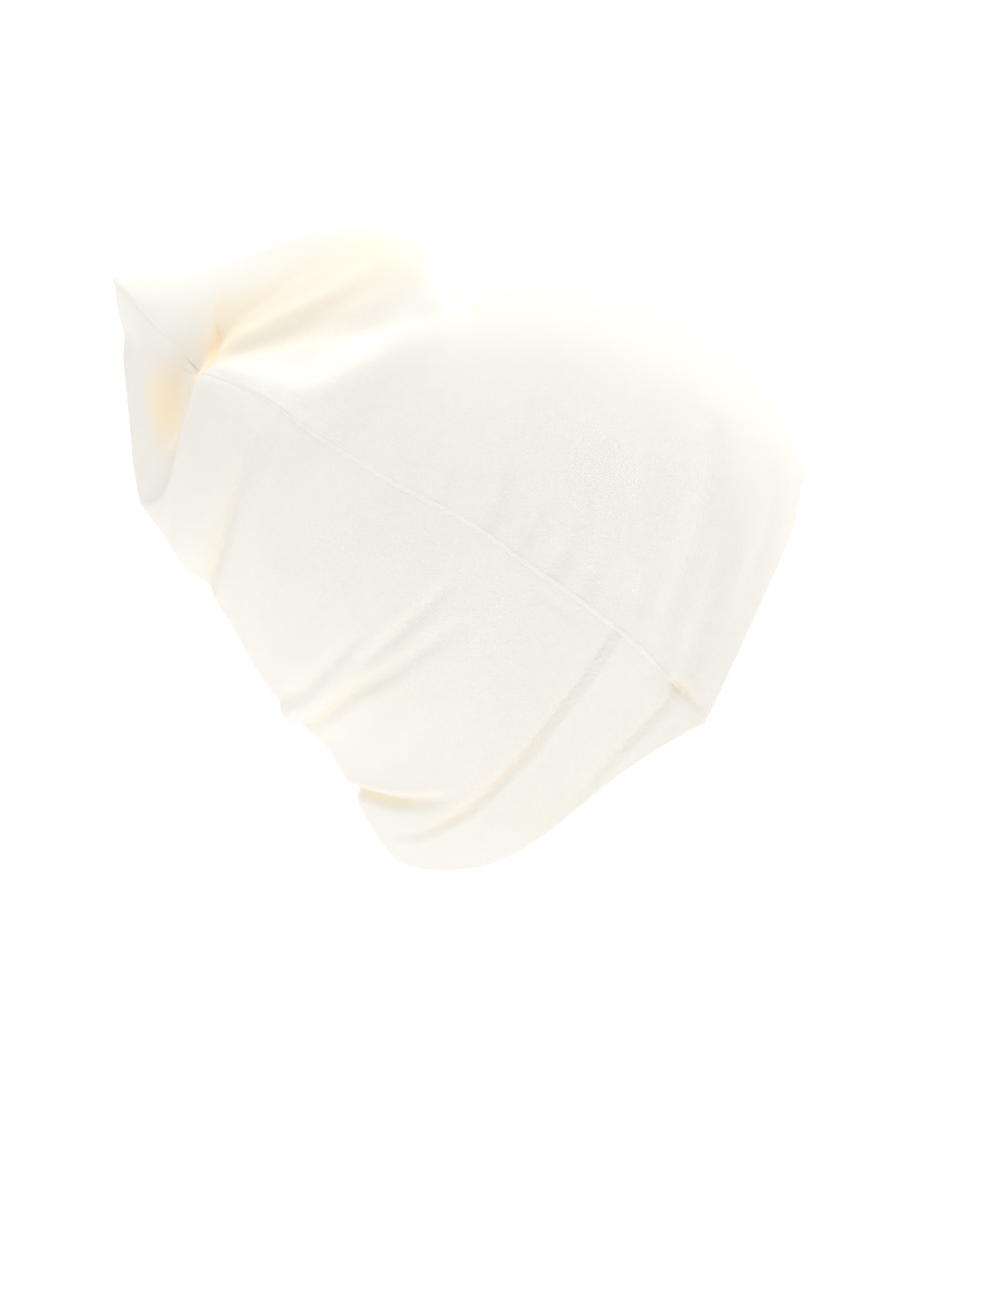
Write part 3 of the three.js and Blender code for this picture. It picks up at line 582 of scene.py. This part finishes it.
def weigh_hem_edges(piece, key):
    """Marks the edges along the hem, where an attribute is 1 at both ends, to be rounded."""
    at_hem = attribute_values(piece, key) > 0.5
    ends = np.empty(2 * len(piece.data.edges), int)
    piece.data.edges.foreach_get("vertices", ends)
    both = np.all(at_hem[ends.reshape(-1, 2)], axis=1)
    layer = piece.data.attributes.new("bevel_weight_edge", "FLOAT", "EDGE")
    layer.data.foreach_set("value", both.astype(float))
    piece.data.attributes.remove(piece.data.attributes[key])


def apply_modifier(piece, kind, **settings):
    modifier = piece.modifiers.new(kind.title(), kind)
    for key, value in settings.items():
        setattr(modifier, key, value)
    bpy.context.view_layer.objects.active = piece
    bpy.ops.object.modifier_apply(modifier=modifier.name)


def in_edit_mode(piece, *steps):
    """Runs edit mode operators on the whole of a piece."""
    deselect_all()
    piece.select_set(True)
    bpy.context.view_layer.objects.active = piece
    bpy.ops.object.mode_set(mode="EDIT")
    bpy.ops.mesh.select_all(action="SELECT")
    for step in steps:
        step()
    bpy.ops.object.mode_set(mode="OBJECT")


def finish_piece(piece, material, angle=60):
    deselect_all()
    piece.select_set(True)
    bpy.context.view_layer.objects.active = piece
    bpy.ops.object.shade_smooth_by_angle(angle=math.radians(angle))
    piece.data.materials.clear()
    piece.data.materials.append(material)
    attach(piece, "root")


class Nodes:
    """Short way to add and join shader nodes."""

    def __init__(self, material):
        self.tree = material.node_tree

    def add(self, kind, **inputs):
        node = self.tree.nodes.new(kind)
        for key, value in inputs.items():
            if key in node.inputs:
                self.put(node.inputs[key], value)
            else:
                setattr(node, key, value)
        return node

    def put(self, socket, value):
        if isinstance(value, bpy.types.NodeSocket):
            self.tree.links.new(value, socket)
        else:
            socket.default_value = value

    def maths(self, operation, *values):
        node = self.tree.nodes.new("ShaderNodeMath")
        node.operation = operation
        for socket, value in zip(node.inputs, values):
            self.put(socket, value)
        return node.outputs[0]


def knit_relief(nodes, columns, rows):
    """Height of a plain jersey: columns of V stitches, from the piece's own UV map."""
    uv = nodes.add("ShaderNodeTexCoord").outputs["UV"]
    scaled = nodes.add("ShaderNodeMapping", Vector=uv, Scale=(columns, rows, 1)).outputs[0]
    parts = nodes.add("ShaderNodeSeparateXYZ", Vector=scaled).outputs
    across = nodes.maths("SUBTRACT", nodes.maths("FRACT", parts[0]), 0.5)
    off_middle = nodes.maths("ABSOLUTE", across)
    legs = nodes.maths("SINE", nodes.maths("MULTIPLY", off_middle, 2 * math.pi))
    slant = nodes.maths("ADD", parts[1], nodes.maths("MULTIPLY", off_middle, LEG_SLANT))
    loops = nodes.maths("SINE", nodes.maths("MULTIPLY", slant, 2 * math.pi))
    loops = nodes.maths("MULTIPLY_ADD", loops, 0.35, 0.65)
    return nodes.maths("MULTIPLY", legs, loops)


def jersey_material(name, colours, columns, rows):
    """Matte natural-white knit with a fine stitch relief, a soft nap and a faint unevenness; its colour
    takes painted shade in the dips between stitches, warm painted shade in the folds of the end and painted
    highlights along folds that catch the light.
    """
    material = bpy.data.materials.new(name)
    material.use_nodes = True
    nodes = Nodes(material)
    shader = material.node_tree.nodes["Principled BSDF"]
    relief = knit_relief(nodes, columns, rows)
    place = nodes.add("ShaderNodeTexCoord").outputs["Object"]
    cloud = nodes.add("ShaderNodeTexNoise", Vector=place, Scale=26.0, Detail=3.0).outputs["Fac"]
    nap = nodes.add("ShaderNodeTexNoise", Vector=place, Scale=1500.0, Detail=4.0).outputs["Fac"]
    # Colour darker in the dips between stitches is painted shade; the cloud is a random unevenness of the
    # yarn's own tone.
    tone = nodes.maths("MULTIPLY_ADD", relief, 0.35, nodes.maths("MULTIPLY", cloud, 0.75))
    ramp = nodes.add("ShaderNodeMix", data_type="RGBA", Factor=nodes.maths("MINIMUM", tone, 1.0))
    ramp.inputs[6].default_value = tuple(colours.jersey_mottle_and_stitch_shade)
    ramp.inputs[7].default_value = tuple(colours.jersey)
    colour = ramp.outputs[2]
    # Pale mixes in the painted highlights, then deep mixes in the warm painted shade of the folds.
    for key, other in (("pale", colours.jersey_painted_highlight), ("deep", colours.jersey_painted_shade)):
        share = nodes.add("ShaderNodeAttribute", attribute_name=key).outputs["Fac"]
        mix = nodes.add("ShaderNodeMix", data_type="RGBA", Factor=share)
        nodes.put(mix.inputs[6], colour)
        mix.inputs[7].default_value = tuple(other)
        colour = mix.outputs[2]
    nodes.put(shader.inputs["Base Color"], colour)
    height = nodes.maths("MULTIPLY_ADD", nap, 0.2, relief)
    bump = nodes.add("ShaderNodeBump", Height=height, Strength=0.3, Distance=0.0002)
    nodes.put(shader.inputs["Normal"], bump.outputs[0])
    rough = nodes.maths("MULTIPLY_ADD", nap, 0.12, 0.84)
    nodes.put(shader.inputs["Roughness"], rough)
    shader.inputs["Specular IOR Level"].default_value = 0.2
    shader.inputs["Sheen Weight"].default_value = 0.2
    shader.inputs["Sheen Roughness"].default_value = 0.5
    shader.inputs["Sheen Tint"].default_value = (1, 0.97, 0.92, 1)
    return material


def thread_material(name, colours):
    """Soft twisted thread of the seams."""
    material = bpy.data.materials.new(name)
    material.use_nodes = True
    nodes = Nodes(material)
    shader = material.node_tree.nodes["Principled BSDF"]
    place = nodes.add("ShaderNodeTexCoord").outputs["Object"]
    twist = nodes.add("ShaderNodeTexNoise", Vector=place, Scale=2200.0, Detail=3.0).outputs["Fac"]
    ramp = nodes.add("ShaderNodeMix", data_type="RGBA", Factor=twist)
    ramp.inputs[6].default_value = tuple(0.94 * part for part in colours.thread[:3]) + (1,)
    ramp.inputs[7].default_value = tuple(colours.thread)
    nodes.put(shader.inputs["Base Color"], ramp.outputs[2])
    bump = nodes.add("ShaderNodeBump", Height=twist, Strength=0.3, Distance=0.0002)
    nodes.put(shader.inputs["Normal"], bump.outputs[0])
    shader.inputs["Roughness"].default_value = 0.8
    shader.inputs["Specular IOR Level"].default_value = 0.25
    shader.inputs["Sheen Weight"].default_value = 0.2
    return material


def build_panel(context, name, node, side):
    """One panel: a placed grid for the outer face, given its wall and rounded edges."""
    sizes = context.scene.nightcap_sizes
    colours = context.scene.nightcap_colours
    middle = 0.0 if side > 0 else 0.5

    def spread(across, up):
        turn = middle + (across - 0.5) * 2 * SIDE_SEAM_TURN
        rise = up + RISE_GATHER * np.sin(np.pi * up) ** 2
        return np.where(turn > 0.5, turn - 1, turn), rise

    def place(across, up):
        return cloth_point(sizes, *spread(across, up), side)[0]

    def painted_light_of(tones):
        return lambda across, up: painted_light_share(sizes, near_side(sizes, *spread(across, up), side), tones)

    # The deep attribute carries the warm painted shade in the folds, and the pale attribute carries the
    # painted highlights.
    piece = shaped_grid(name, PANEL_COLUMNS, PANEL_ROWS, place, {
        "deep": painted_light_of(PAINTED_SHADE_TONES), "pale": painted_light_of(PAINTED_HIGHLIGHT_TONES),
        "wall": lambda across, up: wall_share(sizes, *spread(across, up)),
        "hem": lambda across, up: (up < 0.5 / PANEL_ROWS).astype(float)})
    in_edit_mode(piece, lambda: bpy.ops.mesh.normals_make_consistent(inside=False))
    if faces_inwards(piece):
        in_edit_mode(piece, bpy.ops.mesh.flip_normals)
    weigh_hem_edges(piece, "hem")
    wall = group_from_attribute(piece, "wall")
    apply_modifier(piece, "SOLIDIFY", thickness=sizes.wall, offset=-1, use_even_offset=False,
                   use_rim=True, use_quality_normals=True, vertex_group=wall.name,
                   thickness_vertex_group=THIN_SHARE)
    apply_modifier(piece, "BEVEL", width=HEM_BEVEL * sizes.wall, segments=3, limit_method="WEIGHT")
    piece.vertex_groups.clear()
    material = jersey_material(f"{name}_knit", colours, sizes.cut_width / WALE, sizes.cut_length / COURSE)
    finish_piece(piece, material)
    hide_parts(node)


def faces_inwards(piece):
    """True where an open piece's faces look towards its own middle."""
    mesh = piece.data
    centres = np.empty(len(mesh.polygons) * 3)
    normals = np.empty(len(mesh.polygons) * 3)
    mesh.polygons.foreach_get("center", centres)
    mesh.polygons.foreach_get("normal", normals)
    centres = centres.reshape(-1, 3)
    away = centres - np.array(CAP_MIDDLE)
    return float(np.sum(away * normals.reshape(-1, 3))) < 0


def side_seam_line(sizes, side_sign, share, lift):
    """Points and outward directions along a side seam, from the hem to the pinch."""
    low, high = SIDE_WELT_RISES
    rise = low + (high - low) * share
    turn = np.full_like(rise, side_sign * SIDE_SEAM_TURN)
    front = cloth_point(sizes, turn, rise, 1, lift)
    back = cloth_point(sizes, turn, rise, -1, lift)
    normal = front[1] + back[1]
    normal /= np.linalg.norm(normal, axis=-1, keepdims=True)
    return 0.5 * (front[0] + back[0]), normal


def crown_seam_line(sizes, share, lift):
    """Points and outward directions along the crown seam, from side to side."""
    low, high = CROWN_WELT_TURNS
    turn = low + (high - low) * share
    rise = np.ones_like(turn)
    behind = np.where(turn >= 0, 0.5 - turn, -0.5 - turn)
    front, front_normal = cloth_point(sizes, turn, rise, 1)
    back_normal = outward(sizes, behind, rise, -1)
    normal = front_normal + back_normal
    normal /= np.linalg.norm(normal, axis=-1, keepdims=True)
    return front + lift * normal, normal


def line_frame(line, share, lift):
    """Points on a seam's line with the directions along it, across it and outwards."""
    here, normal = line(share, lift)
    after = line(np.clip(share + SLOPE_STEP, 0, 1), lift)[0]
    before = line(np.clip(share - SLOPE_STEP, 0, 1), lift)[0]
    ahead = (after - before) / np.linalg.norm(after - before, axis=-1, keepdims=True)
    return here, ahead, np.cross(ahead, normal), normal


def build_welt(name, line, half_width, half_height, lift):
    """A flattened cord laid along a line on the cloth, closed at both ends."""

    def place(around, up):
        here, _, across, normal = line_frame(line, up, lift)
        angle = 2 * np.pi * around
        taper = np.sqrt(np.clip(1 - (2 * up - 1) ** WELT_TAPER, 0, 1))
        wide = half_width * np.cos(angle) * taper
        high = half_height * np.sin(angle) * taper
        return here + wide[:, None] * across + high[:, None] * normal

    piece = shaped_grid(name, WELT_SIDES, WELT_ROWS, place)
    in_edit_mode(piece, lambda: bpy.ops.mesh.remove_doubles(threshold=MERGE_DISTANCE),
                 lambda: bpy.ops.mesh.normals_make_consistent(inside=False))
    return piece


def stitch_shape(name, pitch, reach):
    """One slanting stitch that dips into the cloth at both ends, along x, across y and off the cloth z."""
    run = np.array([STITCH_SLANT * pitch, reach, 0])
    beside = np.array([-run[1], run[0], 0]) / np.linalg.norm(run)
    upwards = np.array([0, 0, 1])

    def place(around, up):
        share = (2 * up - 1)[:, None]
        angle = 2 * np.pi * around[:, None]
        radius = THREAD_RADIUS * (0.55 + 0.45 * np.sqrt(np.clip(1 - share ** 4, 0, 1)))
        arch = THREAD_RADIUS * (1.6 * (1 - share ** 2) - 0.4)
        return share * run + radius * np.cos(angle) * beside + (arch + radius * np.sin(angle)) * upwards

    stitch = shaped_grid(name, STITCH_SIDES, STITCH_STEPS, place)
    in_edit_mode(stitch, lambda: bpy.ops.mesh.remove_doubles(threshold=MERGE_DISTANCE),
                 lambda: bpy.ops.mesh.fill_holes(sides=STITCH_SIDES))
    return stitch


def build_stitches(name, line, pitch, reach, material):
    """A row of short slanting stitches laid over a seam: one is modelled, and its copies are joined."""
    track = line(np.linspace(0, 1, 200), 0.0)[0]
    count = int(np.sum(np.linalg.norm(np.diff(track, axis=0), axis=1)) / pitch)
    first = stitch_shape(name, pitch, reach)
    row = [first]
    for _ in range(count - 1):
        stitch = first.copy()
        stitch.data = first.data.copy()
        bpy.context.collection.objects.link(stitch)
        row.append(stitch)
    shares = (np.arange(count) + 0.5) / count
    deselect_all()
    for stitch, here, ahead, across, normal in zip(row, *line_frame(line, shares, 0.0)):
        turned = Matrix((ahead, across, normal)).transposed().to_4x4()
        stitch.data.transform(Matrix.Translation(here) @ turned)
        stitch.select_set(True)
    bpy.context.view_layer.objects.active = first
    bpy.ops.object.join()
    in_edit_mode(first, lambda: bpy.ops.mesh.normals_make_consistent(inside=False))
    finish_piece(first, material)


class NIGHTCAP_OT_front_panel(bpy.types.Operator):
    """Build the front jersey panel, forehead to crown seam"""

    bl_idname = "nightcap.front_panel"
    bl_label = "Front Panel"

    def execute(self, context):
        build_panel(context, "front_jersey", "front_panel", 1)
        return {"FINISHED"}


class NIGHTCAP_OT_back_panel(bpy.types.Operator):
    """Build the back jersey panel, nape to crown seam"""

    bl_idname = "nightcap.back_panel"
    bl_label = "Back Panel"

    def execute(self, context):
        build_panel(context, "back_jersey", "back_panel", -1)
        return {"FINISHED"}


class NIGHTCAP_OT_seams(bpy.types.Operator):
    """Build the raised seam lines and their stitches"""

    bl_idname = "nightcap.seams"
    bl_label = "Seams"

    def execute(self, context):
        sizes = context.scene.nightcap_sizes
        thread = thread_material("seam_thread", context.scene.nightcap_colours)
        half = 0.5 * sizes.welt_width
        lines = [
            ("right_welt", "right_side_seam", SIDE_WELT_SHARE, partial(side_seam_line, sizes, 1)),
            ("left_welt", "left_side_seam", SIDE_WELT_SHARE, partial(side_seam_line, sizes, -1)),
            ("crown_welt", "crown_seam", CROWN_WELT_SHARE, partial(crown_seam_line, sizes)),
        ]
        for name, node, height_share, line in lines:
            piece = build_welt(name, line, half, height_share * half, WELT_LIFT_SHARE * half)
            finish_piece(piece, thread)
            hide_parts(node)
            build_stitches(f"{name}_stitches", line, sizes.stitch_pitch, STITCH_REACH_SHARE * half, thread)
        return {"FINISHED"}


class NIGHTCAP_OT_stage(bpy.types.Operator):
    """Build the pale floor, its backdrop, the lights and the camera"""

    bl_idname = "nightcap.stage"
    bl_label = "Stage"

    def execute(self, context):
        sizes = context.scene.nightcap_sizes
        build_floor(context, sizes.stand_height)
        build_lights(context)
        build_camera(context)
        return {"FINISHED"}


def build_floor(context, drop):
    """A pale floor that curves up into a backdrop far behind."""
    deselect_all()
    bpy.ops.mesh.primitive_plane_add(size=FLOOR_SIZE, location=(0, 0, -drop))
    floor = context.object
    floor.name = floor.data.name = "studio_floor"
    in_edit_mode(floor, lambda: bpy.ops.mesh.subdivide(number_cuts=FLOOR_CUTS))
    for vertex in floor.data.vertices:
        behind = max(vertex.co.y - BACKDROP_START, 0)
        vertex.co.z += BACKDROP_CURVE * behind ** 2
    material = bpy.data.materials.new("studio_paper")
    material.use_nodes = True
    nodes = Nodes(material)
    shader = material.node_tree.nodes["Principled BSDF"]
    place = nodes.add("ShaderNodeTexCoord").outputs["Object"]
    grain = nodes.add("ShaderNodeTexNoise", Vector=place, Scale=300.0).outputs["Fac"]
    bump = nodes.add("ShaderNodeBump", Height=grain, Strength=0.05, Distance=0.0005)
    nodes.put(shader.inputs["Normal"], bump.outputs[0])
    shader.inputs["Base Color"].default_value = tuple(context.scene.nightcap_colours.studio)
    shader.inputs["Roughness"].default_value = 0.9
    shader.inputs["Emission Color"].default_value = (1, 1, 1, 1)
    shader.inputs["Emission Strength"].default_value = 0.2
    floor.data.materials.append(material)
    deselect_all()
    floor.select_set(True)
    bpy.ops.object.shade_smooth()
    floor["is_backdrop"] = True


def build_lights(context):
    """White surroundings, a large soft light overhead and weaker ones before and behind the cap."""
    world = bpy.data.worlds.new("studio_white")
    world.use_nodes = True
    nodes = Nodes(world)
    background = world.node_tree.nodes["Background"]
    background.inputs["Color"].default_value = (1, 1, 1, 1)
    direction = nodes.add("ShaderNodeTexCoord").outputs["Generated"]
    behind = nodes.add("ShaderNodeSeparateXYZ", Vector=direction).outputs["Y"]
    ambient = nodes.maths("MULTIPLY_ADD", behind, AMBIENT_BEHIND, AMBIENT)
    seen = nodes.add("ShaderNodeLightPath").outputs["Is Camera Ray"]
    nodes.put(background.inputs["Strength"], nodes.maths("MAXIMUM", ambient, seen))
    context.scene.world = world
    softboxes = [
        ("overhead_softbox", (0.1, -0.1, 1.3), 1.0, 8.5),
        ("front_softbox", (1.3, 0.1, 0.7), 0.9, 3.5),
        ("back_softbox", (-0.8, -1.2, 0.4), 0.9, 0.9),
    ]
    for name, place, size, power in softboxes:
        deselect_all()
        bpy.ops.object.light_add(type="AREA", location=place)
        light = context.object
        light.name = light.data.name = name
        light.data.shape = "DISK"
        light.data.size = size
        light.data.energy = power
        towards = Vector(CAP_MIDDLE) - light.location
        light.rotation_euler = towards.to_track_quat("-Z", "Y").to_euler()
    context.scene.view_settings.view_transform = "Standard"
    context.scene.view_settings.look = "None"


def build_camera(context):
    """Level camera square to the wearer's right side, centred a little below the cap."""
    across, up = VIEW_CENTRE
    deselect_all()
    bpy.ops.object.camera_add(location=(across, -VIEW_DISTANCE, up), rotation=(math.pi / 2, 0, 0))
    camera = context.object
    camera.name = "profile_camera"
    camera.data.sensor_width = SENSOR
    camera.data.lens = SENSOR * VIEW_DISTANCE / VIEW_HEIGHT
    camera.data.clip_end = 50
    context.scene.camera = camera


class NIGHTCAP_PT_sidebar(bpy.types.Panel):
    """Sizes, colours and steps of the nightcap"""

    bl_idname = "NIGHTCAP_PT_sidebar"
    bl_label = "Nightcap"
    bl_space_type = "VIEW_3D"
    bl_region_type = "UI"
    bl_category = "Nightcap"

    def draw(self, context):
        for group in (context.scene.nightcap_sizes, context.scene.nightcap_colours):
            box = self.layout.box()
            for name in group.bl_rna.properties.keys():
                if name not in ("rna_type", "name"):
                    box.prop(group, name)
        for step in STEPS:
            self.layout.operator(step.bl_idname)


STEPS = (NIGHTCAP_OT_front_panel, NIGHTCAP_OT_back_panel, NIGHTCAP_OT_seams, NIGHTCAP_OT_stage)
CLASSES = (NightcapSizes, NightcapColours, *STEPS, NIGHTCAP_PT_sidebar)


def register():
    for cls in CLASSES:
        bpy.utils.register_class(cls)
    bpy.types.Scene.nightcap_sizes = bpy.props.PointerProperty(type=NightcapSizes)
    bpy.types.Scene.nightcap_colours = bpy.props.PointerProperty(type=NightcapColours)


def unregister():
    del bpy.types.Scene.nightcap_colours
    del bpy.types.Scene.nightcap_sizes
    for cls in reversed(CLASSES):
        bpy.utils.unregister_class(cls)


def main():
    register()
    bpy.ops.nightcap.front_panel()
    bpy.ops.nightcap.back_panel()
    bpy.ops.nightcap.seams()
    bpy.ops.nightcap.stage()


if __name__ == "__main__":
    main()
